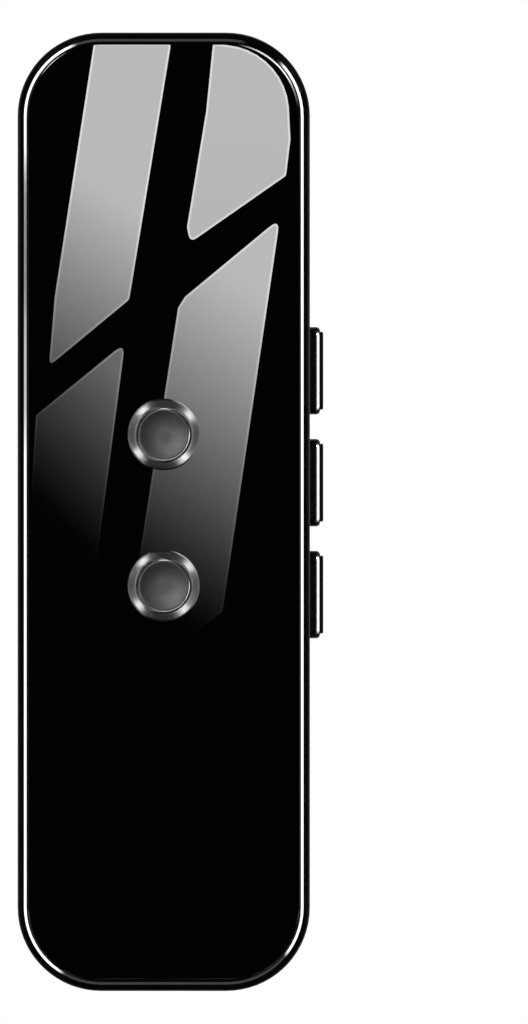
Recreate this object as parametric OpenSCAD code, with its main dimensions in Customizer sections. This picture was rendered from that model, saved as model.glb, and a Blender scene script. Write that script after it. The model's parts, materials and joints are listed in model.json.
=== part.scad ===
// Handheld voice translator: a slim bar with a glass front, two round front buttons, three side keys and a
// speaker grille in the back. Millimetres. It stands on its bottom end: +X is to the right seen from the
// front, the glass faces -Y and +Z runs up the body. The origin is at the middle of the bottom end.

/* [Body] */
// Width of the body across the side walls
body_w = 42.7; // [41.5:0.1:46]
// Height of the body from end to end
body_h = 140; // [138:0.5:150]
// Thickness of the body from the glass to the back cover
body_t = 11.5; // [11.3:0.1:13]
// Radius of the four corners of the outline
corner_r = 12.2; // [11:0.1:13]
// Thickness of the frame's side walls
wall = 2.1; // [1.9:0.05:2.4]
// Radius of the frame's rounded shoulders, front and back
shoulder_r = 0.92; // [0.7:0.02:1.1]
// How far the frame's rims lie behind the glass and the back cover
rim_drop = 0.3; // [0.2:0.05:0.45]
// Width of the polished trim rings
trim_w = 0.38; // [0.3:0.01:0.5]
// Thickness of the back cover
cover_t = 1.2; // [1:0.05:1.4]
// Radius of the back cover's outer edge
cover_edge_r = 0.5; // [0.3:0.05:0.8]
// Height of the lip that centres the back cover in the frame
lip_h = 1.3; // [1:0.1:1.6]
// Thickness of that lip
lip_t = 0.9; // [0.7:0.05:1.1]

/* [Front glass] */
// Thickness of the glass
glass_t = 1; // [0.8:0.05:1.2]
// Radius of the glass's polished edge
glass_edge_r = 0.45; // [0.2:0.05:0.6]
// Thickness of the adhesive sheet under the glass
tape_t = 0.15; // [0.1:0.01:0.25]
// Thickness of the deck that carries the glass
deck_t = 1.2; // [1.1:0.05:1.5]

/* [Front buttons] */
// Height of the lower button's centre above the bottom end
lower_button_y = 59.2; // [56:0.1:64]
// Distance between the centres of the two buttons
button_pitch = 22.1; // [18:0.1:26]
// Outer diameter of the turned bezel
bezel_d = 10.5; // [10.2:0.1:12]
// Diameter of the bezel's barrel where it passes the glass and the deck
barrel_d = 9.4; // [9.2:0.1:9.8]
// Bore of the bezel
bezel_bore_d = 8.13; // [8:0.01:8.4]
// Height of the bezel above the glass
bezel_rise = 0.45; // [0.3:0.05:0.8]
// Width of the bevels on the bezel's face
bezel_bevel = 0.2; // [0.1:0.02:0.3]
// Diameter of the button cap
cap_d = 7.8; // [7.4:0.05:7.9]
// Height of the cap's rim above the glass
cap_rise = 0.45; // [0.15:0.01:0.6]
// Depth of the dish in the cap
dish_depth = 0.25; // [0.1:0.01:0.35]
// Radius of the flat in the middle of the dish
dish_flat_r = 0.8; // [0.5:0.1:1.5]
// Radius of the cap's rim
cap_edge_r = 0.32; // [0.1:0.02:0.4]
// Diameter of the flange that keeps the cap behind its bezel
cap_flange_d = 9.1; // [8.8:0.1:9.3]
// Thickness of that flange
cap_flange_t = 0.5; // [0.4:0.05:0.6]
// How far a front button goes in
button_travel = 0.35; // [0.2:0.05:0.4]

/* [Side keys] */
// Height of the lowest key's centre above the bottom end
power_key_y = 57.9; // [56:0.1:60]
// Distance between the centres of neighbouring keys
key_pitch = 16.35; // [15.5:0.05:17.2]
// Length of a key along the body
key_l = 12.8; // [11:0.1:13.2]
// Width of a key across the side wall
key_w = 2.8; // [2.4:0.1:3.2]
// How far a key stands out of the side wall
key_rise = 1.5; // [1:0.1:2]
// Radius of a key's polished outer edge
key_edge_r = 0.6; // [0.3:0.05:0.8]
// How far the pad in a key's face stands out of that edge
key_pad_rise = 0.45; // [0.25:0.05:0.6]
// How far the flange behind the wall reaches past the key
key_flange = 0.6; // [0.45:0.05:0.8]
// Thickness of that flange
key_flange_t = 0.65; // [0.5:0.05:0.75]
// How far a side key goes in
key_travel = 0.3; // [0.15:0.05:0.3]

/* [Grille and speaker] */
// Distance of the grille's centre below the top end
grille_drop = 31.8; // [30:0.1:34]
// Diameter of a sound hole
hole_d = 1.7; // [1.2:0.05:2]
// Width of the chamfer round a sound hole
hole_chamfer = 0.25; // [0.1:0.01:0.3]
// Distance of the inner pair of hole columns from the middle
inner_column_x = 1.58; // [1.5:0.01:1.7]
// Pitch of the holes in the inner columns
inner_row_pitch = 3.73; // [3.5:0.01:3.8]
// Distance of the second pair of columns from the middle
second_column_x = 4.4; // [4.3:0.01:4.6]
// Distance of the outer pair of columns from the middle
outer_column_x = 7.4; // [7.3:0.01:7.6]
// Pitch of the holes in the second and the outer columns
outer_row_pitch = 3.11; // [2.9:0.01:3.2]
// Outer diameter of the speaker
speaker_d = 23; // [22.8:0.1:25]
// Depth of the speaker's basket
basket_h = 2.8; // [2.4:0.1:3]
// Thickness of the foam gasket in front of the speaker
gasket_t = 0.5; // [0.3:0.05:0.6]
// Diameter of the speaker's magnet pot
pot_d = 13; // [11:0.5:15]
// Thickness of the speaker's magnet pot
pot_h = 1.7; // [1.4:0.1:1.8]

/* [Inside] */
// Thickness of the circuit board
board_t = 1; // [0.8:0.05:1.1]
// Gap between the deck and the circuit board, which the board's posts span
board_gap = 1.5; // [1.45:0.05:1.7]
// Clearance of the board's edge from the frame's inner wall
board_margin = 1.25; // [1.2:0.05:1.5]
// Width of the battery cell
battery_w = 27; // [22:0.5:27.5]
// Height of the battery cell
battery_h = 45; // [38:0.5:45.5]
// Thickness of the battery cell
battery_t = 5; // [4:0.1:5.1]
// Diameter of the back cover's screw bosses
boss_d = 3.4; // [3:0.1:3.6]
// Width of the charging socket's shell
usb_w = 8.94; // [8.8:0.02:9.1]
// Thickness of the charging socket's shell
usb_t = 3.16; // [3.1:0.02:3.26]
// Depth of the charging socket's shell
usb_depth = 7.3; // [6.8:0.1:7.6]
// Distance of the microphone from the middle of the body
mic_x = 7.9; // [7.7:0.1:8.3]
// Diameter of the microphone capsule
mic_d = 4; // [3.6:0.1:4]
// Diameter of the microphone's sound hole
mic_hole_d = 1.1; // [0.8:0.1:1.4]

/* [Fits] */
// Clearance round a moving button or key
slide_gap = 0.1; // [0.06:0.01:0.14]
// Clearance between fixed pieces that seat in each other
seat_gap = 0.04; // [0.02:0.01:0.06]
// Clearance between a button and the switch that it presses
press_gap = 0.03; // [0.02:0.01:0.05]

/* [Hidden] */
$fn = 48;

// How far the shapes of one piece run into each other, and how far a cut runs past the face it starts from
join = 0.3;
over = 1;

// The modules below are drawn lying down and stood up at the end: X is to the right, Y runs up the body
// from its bottom end and Z comes out through the glass.
front_z = body_t / 2;
back_z = -body_t / 2;
rim_front_z = front_z - rim_drop;
rim_back_z = back_z + rim_drop;
glass_back_z = front_z - glass_t;
deck_z = glass_back_z - tape_t;
deck_back_z = deck_z - deck_t;
board_z = deck_back_z - board_gap;
board_back_z = board_z - board_t;
cover_in_z = back_z + cover_t;

// Distances in from the body's outline
glass_inset = shoulder_r + trim_w + seat_gap;
lip_inset = wall + slide_gap;
board_inset = wall + board_margin;
inner_x = body_w / 2 - wall;
board_x = body_w / 2 - board_inset;
corner_x = body_w / 2 - corner_r;

// Screws: the case screws are driven from the deck into the cover's bosses, under the glass
screw_head_d = 2.4;
screw_head_h = 0.55;
screw_shank_d = 1.3;
screw_slot = 0.4;
screw_slot_l = 1.6;
screw_sink = 0.1;
screw_seat = screw_head_h + screw_sink;
case_screw_l = 6;
board_screw_l = 3;
pilot_spare = 0.3;
post_d = 3.2;
board_hole_gap = 0.25;

// Side keys
key_y = [power_key_y, power_key_y + key_pitch, power_key_y + 2 * key_pitch];
flange_l = key_l + 2 * key_flange;
side_switch_l = 4.7;
side_switch_w = 3.5;
side_switch_t = 1.65;
side_switch_edge = 0.6;
side_plunger_w = 2;
side_plunger_t = 0.9;
plunger_depth = 0.6;
key_z = board_back_z - side_switch_t / 2;
flange_x = inner_x - seat_gap;
key_back_x = flange_x - key_flange_t;
key_top_x = body_w / 2 + key_rise;
key_pad_in = 0.1;
key_pad_edge_r = 0.2;
key_pad_reach = key_w / 2 - key_edge_r - key_pad_in;
side_switch_x = board_x - side_switch_edge;

// Bosses of the back cover: one in each corner and one at each end of the row of keys, on both sides
boss_in_lip = 0.5;
boss_to_key = 1.5;
boss_reach = corner_r - lip_inset - lip_t - boss_d / 2 + boss_in_lip;
corner_boss = [corner_x + boss_reach * cos(45), corner_r - boss_reach * sin(45)];
side_boss_x = inner_x - slide_gap - boss_d / 2;
low_boss_y = power_key_y - flange_l / 2 - boss_d / 2 - boss_to_key;
high_boss_y = key_y[2] + flange_l / 2 + boss_d / 2 + boss_to_key;
rail_t = 0.8;
rail_h = 2.6;
rail_gap = 0.3;
boss_points = [
    for (side = [-1, 1], p = [
        corner_boss,
        [side_boss_x, low_boss_y],
        [side_boss_x, high_boss_y],
        [corner_boss[0], body_h - corner_boss[1]]
    ]) [side * p[0], p[1]]
];

// Charging socket and battery
usb_setback = 0.35;
usb_wall = 0.28;
usb_z = board_back_z - usb_t / 2 - seat_gap / 2;
usb_end_y = usb_setback + usb_depth;
usb_tongue_w = 6.65;
usb_tongue_t = 0.7;
usb_tongue_setback = 0.7;
usb_base_l = 1.6;
battery_gap = 2.15;
battery_edge_r = 1.2;
battery_tape_t = 0.1;
battery_tape_w = 13.5;
battery_tape_margin = 4;
battery_y = usb_end_y + battery_gap;
battery_top_y = battery_y + battery_h;
battery_z = board_back_z - battery_tape_t;
guard_l = 1.9;
guard_t = 0.9;
guard_drop = 0.9;
guard_margin = 2;
lead_d = 0.8;
lead_pitch = 1.6;
lead_run = 2;
lead_in_connector = 0.6;
lead_z = battery_z - guard_drop - guard_t / 2;
connector = [5.4, 3.6, 2.2];
connector_x = -7;
lead_end_y = battery_top_y + guard_l + lead_run;

// Circuit board screws, which hold the board to the deck's posts: beside the lower bosses, above the battery
// and near the top end
low_screw_step = [-3.6, 1.7];
middle_screw_x = 11.8;
middle_screw_rise = 4.4;
top_screw_x = 8.5;
top_screw_drop = 10;
board_screw_points = [
    for (side = [-1, 1], p = [
        corner_boss + low_screw_step,
        [middle_screw_x, lead_end_y + middle_screw_rise],
        [top_screw_x, body_h - top_screw_drop]
    ]) [side * p[0], p[1]]
];

// Front buttons and their switches
button_y = [lower_button_y, lower_button_y + button_pitch];
barrel_in_deck = 0.5;
barrel_end_z = deck_z - barrel_in_deck;
cap_flange_z = barrel_end_z - seat_gap;
front_switch_w = 5.2;
front_switch_t = 0.8;
switch_floor = 0.1;
front_plunger_d = 2.4;
front_plunger_rise = 0.65;
front_plunger_z = board_z + front_switch_t + front_plunger_rise;
plunger_bore_d = front_plunger_d + 2 * slide_gap;
cap_post_d = 3;
dish_rim = 0.1;
dish_run = cap_d / 2 - cap_edge_r - dish_rim - dish_flat_r;
dish_r = (dish_run * dish_run + dish_depth * dish_depth) / (2 * dish_depth);
dish_z = front_z + cap_rise - dish_depth;

// Speaker
speaker_y = body_h - grille_drop;
gasket_w = 0.9;
mesh_t = 0.15;
basket_z = cover_in_z + gasket_t;
basket_wall = 0.55;
basket_floor = 0.6;
basket_hole_d = 2;
basket_top_z = basket_z + basket_h;
cone_r = speaker_d / 2 - basket_wall - seat_gap;
surround_r = 1.3;
dome_r = 4.5;
dome_rise = 1;
film_t = 0.2;
rib_gap = 0.15;
rib_t = 0.9;
rib_h = 2;
pole_d = 10;
pole_h = 0.5;
speaker_lead_d = 0.7;
speaker_lead_x = [2, 4.4];
speaker_lead_drop = 0.4;
speaker_lead_z = basket_top_z - speaker_lead_drop;
speaker_lead_l = 0.8;
speaker_lead_bend = 0.9;

// Microphone
boot_t = 0.4;
boot_l = 2;
mic_l = 1.5;
boot_r = mic_d / 2 + boot_t;
mic_z = board_back_z - boot_r - seat_gap;
boot_seat = 0.5;
boot_hole_gap = 0.1;
boot_y = wall - boot_seat + seat_gap;
mic_y = boot_y + boot_l - mic_l + seat_gap;
mic_pin_d = 0.45;
mic_pin_x = 0.65;
mic_pin_l = 0.3;
mic_pin_bend = 0.5;

// Sizes and places of the chips on the board's back
chip_gap = 0.03;
pad_z = board_back_z - chip_gap;
shield_size = [15, 12.6, 1.8];
shield_at = [-3.5, 73.4];
shield_sheet = 0.2;
processor_size = [9, 9, 0.9];
processor_at = [-6, 87.5];
memory_size = [6, 5, 1.4];
memory_at = [5, 85.6];
crystal_size = [3.2, 2.5, 0.8];
crystal_at = [8, 72];
antenna_size = [7, 2, 1];
antenna_at = [0, body_h - 6];

// A w by h rectangle with round corners, about the origin
module round_rect(w, h, r) {
    square([w - 2 * r, h], center = true);
    square([w, h - 2 * r], center = true);
    for (sx = [-1, 1], sy = [-1, 1])
        translate([sx * (w / 2 - r), sy * (h / 2 - r)])
            circle(r);
}

// A w by t bar section with half-round ends, about the origin
module stadium(w, t) {
    square([w - t, t], center = true);
    for (s = [-1, 1])
        translate([s * (w - t) / 2, 0])
            circle(t / 2);
}

// The body's outline drawn in by inset
module outline(inset) {
    translate([0, body_h / 2])
        round_rect(body_w - 2 * inset, body_h - 2 * inset, corner_r - inset);
}

// A plate of the body's outline drawn in by inset, between two heights
module plate(inset, low, high) {
    translate([0, 0, low])
        linear_extrude(high - low)
            outline(inset);
}

// Sweeps its child profile round a w by h rectangle with corners of radius r. In the profile x runs out from
// the corners' centres and y is the height.
module sweep_round(w, h, r) {
    run_x = w / 2 - r;
    run_y = h / 2 - r;
    for (k = [0:3])
        translate([(k == 0 || k == 3 ? 1 : -1) * run_x, (k < 2 ? 1 : -1) * run_y, 0])
            rotate([0, 0, 90 * k])
                rotate_extrude(angle = 90)
                    children();
    if (run_y > 0)
        for (turn = [0, 180])
            rotate([0, 0, turn])
                translate([run_x, run_y, 0])
                    rotate([90, 0, 0])
                        linear_extrude(2 * run_y)
                            children();
    if (run_x > 0)
        for (turn = [90, 270])
            rotate([0, 0, turn])
                translate([run_y, run_x, 0])
                    rotate([90, 0, 0])
                        linear_extrude(2 * run_x)
                            children();
}

// Sweeps its child profile round the body. A distance u in from the outline is at x = corner_r - u.
module sweep_body() {
    translate([0, body_h / 2, 0])
        sweep_round(body_w, body_h, corner_r)
            children();
}

// The block inside the lines that join the corners' centres, which a swept plate leaves open
module core(low, high) {
    translate([-corner_x, corner_r, low])
        cube([2 * corner_x, body_h - 2 * corner_r, high - low]);
}

// Half profile of a plate: reach wide, from low to high, with its outer corner at high rounded
module edged_profile(reach, low, high, edge_r) {
    translate([0, low])
        square([reach, high - edge_r - low]);
    translate([0, low])
        square([reach - edge_r, high - low]);
    translate([reach - edge_r, high - edge_r])
        circle(edge_r);
}

// Section of the frame's wall: rounded shoulders outside, and a rebate at each end for a trim ring
module wall_profile() {
    difference() {
        union() {
            translate([corner_r - wall, rim_back_z])
                square([wall - shoulder_r, rim_front_z - rim_back_z]);
            translate([corner_r - shoulder_r, rim_back_z + shoulder_r])
                square([shoulder_r, rim_front_z - rim_back_z - 2 * shoulder_r]);
            for (z = [rim_back_z + shoulder_r, rim_front_z - shoulder_r])
                translate([corner_r - shoulder_r, z])
                    circle(shoulder_r);
        }
        translate([corner_r - wall - over, deck_z])
            square([wall + over - shoulder_r, body_t]);
        translate([corner_r - wall - over, cover_in_z - body_t])
            square([wall + over - shoulder_r, body_t]);
    }
}

// Cuts a key-shaped slot or makes a key-shaped bar along X, from x1 to x2
module key_bar(l, w, x1, x2) {
    translate([x1, 0, 0])
        rotate([90, 0, 90])
            linear_extrude(x2 - x1)
                stadium(l, w);
}

// Puts its child at each side key's centre
module at_keys() {
    for (y = key_y)
        translate([0, y, key_z])
            children();
}

// The bottom wall's slot for the charging socket, and the microphone's hole and the seat of its boot
module end_openings() {
    translate([0, wall + over, usb_z])
        rotate([90, 0, 0])
            linear_extrude(wall + 2 * over)
                stadium(usb_w + 2 * slide_gap, usb_t + 2 * slide_gap);
    translate([mic_x, wall + over, mic_z])
        rotate([90, 0, 0]) {
            cylinder(d = mic_hole_d, h = wall + 2 * over);
            cylinder(r = boot_r + seat_gap, h = boot_seat + over);
        }
}

// The moulded middle frame: walls all round, the deck under the glass and the posts for the board
module mid_frame() {
    color([0.03, 0.03, 0.035])
        difference() {
            union() {
                sweep_body()
                    wall_profile();
                plate(wall - join, deck_back_z, deck_z);
                for (p = board_screw_points)
                    translate([p[0], p[1], board_z])
                        cylinder(d = post_d, h = board_gap + join);
            }
            for (y = button_y)
                translate([0, y, deck_back_z - over])
                    cylinder(d = barrel_d + 2 * seat_gap, h = deck_t + 2 * over);
            for (p = boss_points)
                translate([p[0], p[1], 0]) {
                    translate([0, 0, deck_z - screw_seat])
                        cylinder(d = screw_head_d + 2 * slide_gap, h = screw_seat + over);
                    translate([0, 0, deck_back_z - over])
                        cylinder(d = screw_shank_d + 2 * slide_gap, h = deck_t + over);
                }
            for (p = board_screw_points)
                translate([p[0], p[1], board_z - over])
                    cylinder(
                        d = screw_shank_d + 2 * seat_gap,
                        h = board_screw_l - board_t + pilot_spare + over
                    );
            at_keys()
                key_bar(key_l + 2 * slide_gap, key_w + 2 * slide_gap, inner_x - over, body_w / 2 + over);
            end_openings();
        }
}

// The front glass, flat with a polished round edge, bored for the two bezels
module front_glass() {
    color([0.01, 0.01, 0.012])
        difference() {
            union() {
                sweep_body()
                    edged_profile(corner_r - glass_inset, glass_back_z, front_z, glass_edge_r);
                core(glass_back_z, front_z);
            }
            for (y = button_y)
                translate([0, y, glass_back_z - over])
                    cylinder(d = barrel_d + 2 * slide_gap, h = glass_t + 2 * over);
        }
}

// The die-cut adhesive sheet that bonds the glass to the deck
module glass_tape() {
    tape_margin = 0.6;
    color([0.07, 0.07, 0.08])
        difference() {
            plate(glass_inset + tape_margin, deck_z, glass_back_z);
            for (y = button_y)
                translate([0, y, deck_z - over])
                    cylinder(d = barrel_d + 2 * tape_margin, h = tape_t + 2 * over);
        }
}

// A polished trim ring. Its outer edge is level with the frame's rim, and its face slopes up to the middle.
module trim_ring(seat_z, rim_z, top_z) {
    sweep_body()
        polygon([
            [corner_r - shoulder_r - trim_w, seat_z],
            [corner_r - shoulder_r - seat_gap / 2, seat_z],
            [corner_r - shoulder_r - seat_gap / 2, rim_z],
            [corner_r - shoulder_r - trim_w, top_z]
        ]);
}

module front_trim() {
    color([0.75, 0.76, 0.78])
        trim_ring(deck_z, rim_front_z, front_z);
}

module rear_trim() {
    color([0.75, 0.76, 0.78])
        mirror([0, 0, 1])
            trim_ring(-cover_in_z, -rim_back_z, -back_z);
}

// Places of the sound holes about the grille's centre: three pairs of columns
function column(x, rows, pitch) = [
    for (side = [-1, 1], k = [0:rows - 1]) [side * x, (k - (rows - 1) / 2) * pitch]
];
grille_holes = concat(
    column(inner_column_x, 6, inner_row_pitch),
    column(second_column_x, 5, outer_row_pitch),
    column(outer_column_x, 3, outer_row_pitch)
);

// The moulded back cover: textured plate, centring lip, screw bosses and the ring that holds the speaker
module back_cover() {
    color([0.13, 0.13, 0.14])
        difference() {
            union() {
                mirror([0, 0, 1]) {
                    sweep_body()
                        edged_profile(corner_r - glass_inset, -cover_in_z, -back_z, cover_edge_r);
                    core(-cover_in_z, -back_z);
                }
                difference() {
                    plate(lip_inset, cover_in_z - join, cover_in_z + lip_h);
                    plate(lip_inset + lip_t, cover_in_z - join - over, cover_in_z + lip_h + over);
                    translate([mic_x - boot_r - slide_gap, 0, cover_in_z - join])
                        cube([2 * (boot_r + slide_gap), lip_inset + lip_t + over, join + lip_h + over]);
                }
                for (p = boss_points)
                    translate([p[0], p[1], cover_in_z - join])
                        cylinder(d = boss_d, h = deck_back_z - seat_gap - cover_in_z + join);
                for (side = [0, 1])
                    mirror([side, 0, 0])
                        translate([battery_w / 2 + rail_gap, battery_y + rail_gap, cover_in_z - join])
                            cube([rail_t, battery_h - 2 * rail_gap, rail_h + join]);
                translate([0, speaker_y, cover_in_z - join])
                    difference() {
                        cylinder(d = speaker_d + 2 * rib_gap + 2 * rib_t, h = rib_h + join);
                        translate([0, 0, -over])
                            cylinder(d = speaker_d + 2 * rib_gap, h = rib_h + join + 2 * over);
                    }
            }
            for (p = boss_points)
                translate([p[0], p[1], deck_back_z - case_screw_l])
                    cylinder(d = screw_shank_d + 2 * seat_gap, h = case_screw_l);
            for (p = grille_holes)
                translate([p[0], speaker_y + p[1], 0]) {
                    translate([0, 0, back_z - over])
                        cylinder(d = hole_d, h = cover_t + 2 * over);
                    translate([0, 0, back_z - hole_chamfer])
                        cylinder(
                            d1 = hole_d + 4 * hole_chamfer,
                            d2 = hole_d,
                            h = 2 * hole_chamfer
                        );
                }
        }
}

// A small screw, head up, with its head's underside at the origin
module screw(l) {
    difference() {
        cylinder(d = screw_head_d, h = screw_head_h);
        translate([0, 0, screw_head_h])
            for (turn = [0, 90])
                rotate([0, 0, turn])
                    cube([screw_slot_l, screw_slot, screw_head_h], center = true);
    }
    translate([0, 0, -l])
        cylinder(d = screw_shank_d, h = l);
}

module case_screws() {
    color([0.6, 0.6, 0.62])
        for (p = boss_points)
            translate([p[0], p[1], deck_z - screw_seat])
                screw(case_screw_l - deck_t);
}

module board_screws() {
    color([0.6, 0.6, 0.62])
        for (p = board_screw_points)
            translate([p[0], p[1], board_back_z])
                mirror([0, 0, 1])
                    screw(board_screw_l);
}

// Turned bezel round a front button: a bevelled flange on the glass and a barrel down into the deck
module bezel() {
    rotate_extrude()
        polygon([
            [bezel_bore_d / 2, barrel_end_z],
            [barrel_d / 2, barrel_end_z],
            [barrel_d / 2, front_z],
            [bezel_d / 2, front_z],
            [bezel_d / 2, front_z + bezel_rise - bezel_bevel],
            [bezel_d / 2 - bezel_bevel, front_z + bezel_rise],
            [bezel_bore_d / 2 + bezel_bevel, front_z + bezel_rise],
            [bezel_bore_d / 2, front_z + bezel_rise - bezel_bevel]
        ]);
}

// A cap with a flat-bottomed dish, the flange that keeps it in and the post that presses its switch
module button_cap() {
    rotate_extrude()
        difference() {
            union() {
                edged_profile(cap_d / 2, cap_flange_z - join, front_z + cap_rise, cap_edge_r);
                translate([0, cap_flange_z - cap_flange_t])
                    square([cap_flange_d / 2, cap_flange_t]);
                translate([0, front_plunger_z + press_gap])
                    square([cap_post_d / 2, cap_flange_z - front_plunger_z - press_gap]);
            }
            translate([dish_flat_r, dish_z + dish_r])
                circle(dish_r);
            translate([0, dish_z])
                square([dish_flat_r, body_t]);
            translate([-cap_d, front_plunger_z])
                square([cap_d, body_t]);
        }
}

// A flat tactile switch under a front button, bored for its plunger
module front_switch() {
    difference() {
        translate([-front_switch_w / 2, -front_switch_w / 2, board_z])
            cube([front_switch_w, front_switch_w, front_switch_t]);
        translate([0, 0, board_z + switch_floor])
            cylinder(d = plunger_bore_d, h = front_switch_t);
    }
}

module front_plunger() {
    foot_z = board_z + switch_floor + press_gap + button_travel;
    translate([0, 0, foot_z])
        cylinder(d = front_plunger_d, h = front_plunger_z - foot_z);
}

module upper_button_bezel() {
    color([0.5, 0.51, 0.53])
        translate([0, button_y[1], 0])
            bezel();
}

module lower_button_bezel() {
    color([0.5, 0.51, 0.53])
        translate([0, button_y[0], 0])
            bezel();
}

module upper_button_cap() {
    color([0.25, 0.25, 0.26])
        translate([0, button_y[1], 0])
            button_cap();
}

module lower_button_cap() {
    color([0.25, 0.25, 0.26])
        translate([0, button_y[0], 0])
            button_cap();
}

module upper_switch_body() {
    color([0.12, 0.12, 0.13])
        translate([0, button_y[1], 0])
            front_switch();
}

module lower_switch_body() {
    color([0.12, 0.12, 0.13])
        translate([0, button_y[0], 0])
            front_switch();
}

module upper_switch_plunger() {
    color([0.75, 0.72, 0.65])
        translate([0, button_y[1], 0])
            front_plunger();
}

module lower_switch_plunger() {
    color([0.75, 0.72, 0.65])
        translate([0, button_y[0], 0])
            front_plunger();
}

// A side key: a bar with half-round ends, a rounded outer edge and a raised pad, on a flange behind the wall
module side_key() {
    rotate([90, 0, 90])
        sweep_round(key_l, key_w, key_w / 2) {
            edged_profile(key_w / 2, flange_x - join, key_top_x, key_edge_r);
            edged_profile(key_pad_reach, key_top_x - join, key_top_x + key_pad_rise, key_pad_edge_r);
        }
    key_bar(flange_l, key_w + 2 * key_flange, key_back_x, flange_x);
}

// A side-pressed tactile switch at the board's edge, with a pocket for its plunger
module side_switch() {
    difference() {
        translate([side_switch_x - side_switch_w, -side_switch_l / 2, -side_switch_t / 2])
            cube([side_switch_w, side_switch_l, side_switch_t]);
        translate([
            side_switch_x - plunger_depth - key_travel - press_gap,
            -side_plunger_w / 2 - slide_gap,
            -side_plunger_t / 2 - slide_gap
        ])
            cube([side_switch_w, side_plunger_w + 2 * slide_gap, side_plunger_t + 2 * slide_gap]);
    }
}

module side_plunger() {
    tip_x = key_back_x - press_gap;
    translate([side_switch_x - plunger_depth, -side_plunger_w / 2, -side_plunger_t / 2])
        cube([tip_x - side_switch_x + plunger_depth, side_plunger_w, side_plunger_t]);
}

// Puts its child at the height of one of the three keys, 0 for the lowest
module at_key(k) {
    translate([0, key_y[k], key_z])
        children();
}

module volume_up_key() {
    color([0.03, 0.03, 0.035])
        at_key(2)
            side_key();
}

module volume_down_key() {
    color([0.03, 0.03, 0.035])
        at_key(1)
            side_key();
}

module power_key() {
    color([0.03, 0.03, 0.035])
        at_key(0)
            side_key();
}

module volume_up_switch() {
    color([0.12, 0.12, 0.13])
        at_key(2)
            side_switch();
}

module volume_down_switch() {
    color([0.12, 0.12, 0.13])
        at_key(1)
            side_switch();
}

module power_switch() {
    color([0.12, 0.12, 0.13])
        at_key(0)
            side_switch();
}

module volume_up_plunger() {
    color([0.75, 0.72, 0.65])
        at_key(2)
            side_plunger();
}

module volume_down_plunger() {
    color([0.75, 0.72, 0.65])
        at_key(1)
            side_plunger();
}

module power_plunger() {
    color([0.75, 0.72, 0.65])
        at_key(0)
            side_plunger();
}

// The circuit board, notched round the cover's bosses and drilled for its own screws
module main_board() {
    color([0.05, 0.25, 0.15])
        difference() {
            plate(board_inset, board_back_z, board_z);
            for (p = boss_points)
                translate([p[0], p[1], board_back_z - over])
                    cylinder(d = boss_d + 2 * board_hole_gap, h = board_t + 2 * over);
            for (p = board_screw_points)
                translate([p[0], p[1], board_back_z - over])
                    cylinder(d = screw_shank_d + 2 * slide_gap, h = board_t + 2 * over);
        }
}

// A chip of the given size on the board's back, centred at p
module chip(p, size) {
    translate([p[0] - size[0] / 2, p[1] - size[1] / 2, pad_z - size[2]])
        cube(size);
}

module processor_chip() {
    color([0.1, 0.1, 0.11])
        chip(processor_at, processor_size);
}

module memory_chip() {
    color([0.1, 0.1, 0.11])
        chip(memory_at, memory_size);
}

// The folded steel can over the radio circuit, open to the board
module radio_shield() {
    color([0.7, 0.7, 0.72])
        difference() {
            chip(shield_at, shield_size);
            translate([0, 0, shield_sheet])
                chip(shield_at, shield_size - [2 * shield_sheet, 2 * shield_sheet, 0]);
        }
}

module clock_crystal() {
    color([0.75, 0.75, 0.77])
        chip(crystal_at, crystal_size);
}

module chip_antenna() {
    color([0.85, 0.85, 0.82])
        chip(antenna_at, antenna_size);
}

// The pouch cell, with softly rounded long edges
module battery_cell() {
    color([0.72, 0.73, 0.76])
        translate([0, battery_top_y, battery_z - battery_t / 2])
            rotate([90, 0, 0])
                linear_extrude(battery_h)
                    round_rect(battery_w, battery_t, battery_edge_r);
}

module battery_tape() {
    color([0.9, 0.85, 0.3])
        translate([-battery_tape_w / 2, battery_y + battery_tape_margin, battery_z])
            cube([battery_tape_w, battery_h - 2 * battery_tape_margin, battery_tape_t]);
}

// The strip with the cell's protection circuit, at the top of the cell
module battery_guard_board() {
    color([0.05, 0.25, 0.15])
        translate([
            guard_margin - battery_w / 2,
            battery_top_y + seat_gap,
            battery_z - guard_drop - guard_t
        ])
            cube([battery_w - 2 * guard_margin, guard_l, guard_t]);
}

module battery_leads() {
    color([0.7, 0.05, 0.05])
        for (side = [-1, 1])
            translate([connector_x + side * lead_pitch / 2, lead_end_y, lead_z])
                rotate([90, 0, 0])
                    cylinder(d = lead_d, h = lead_run - seat_gap);
}

module battery_connector() {
    color([0.9, 0.89, 0.84])
        difference() {
            chip([connector_x, lead_end_y + connector[1] / 2 - lead_in_connector], connector);
            for (side = [-1, 1])
                translate([connector_x + side * lead_pitch / 2, lead_end_y + seat_gap, lead_z])
                    rotate([90, 0, 0])
                        cylinder(d = lead_d + 2 * seat_gap, h = lead_in_connector + over);
        }
}

// The speaker's basket: a rim against the gasket, an open tub behind it and a floor round the magnet pot
module speaker_basket() {
    color([0.1, 0.1, 0.11])
        translate([0, speaker_y, 0])
            difference() {
                translate([0, 0, basket_z])
                    cylinder(d = speaker_d, h = basket_h);
                translate([0, 0, basket_z - over])
                    cylinder(d = speaker_d - 2 * basket_wall, h = basket_h - basket_floor + over);
                translate([0, 0, basket_z])
                    cylinder(d = pot_d + 2 * seat_gap, h = basket_h + over);
                for (turn = [45:90:315])
                    rotate([0, 0, turn])
                        translate([(pot_d + speaker_d) / 4, 0, basket_z])
                            cylinder(d = basket_hole_d, h = basket_h + over);
            }
}

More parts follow.
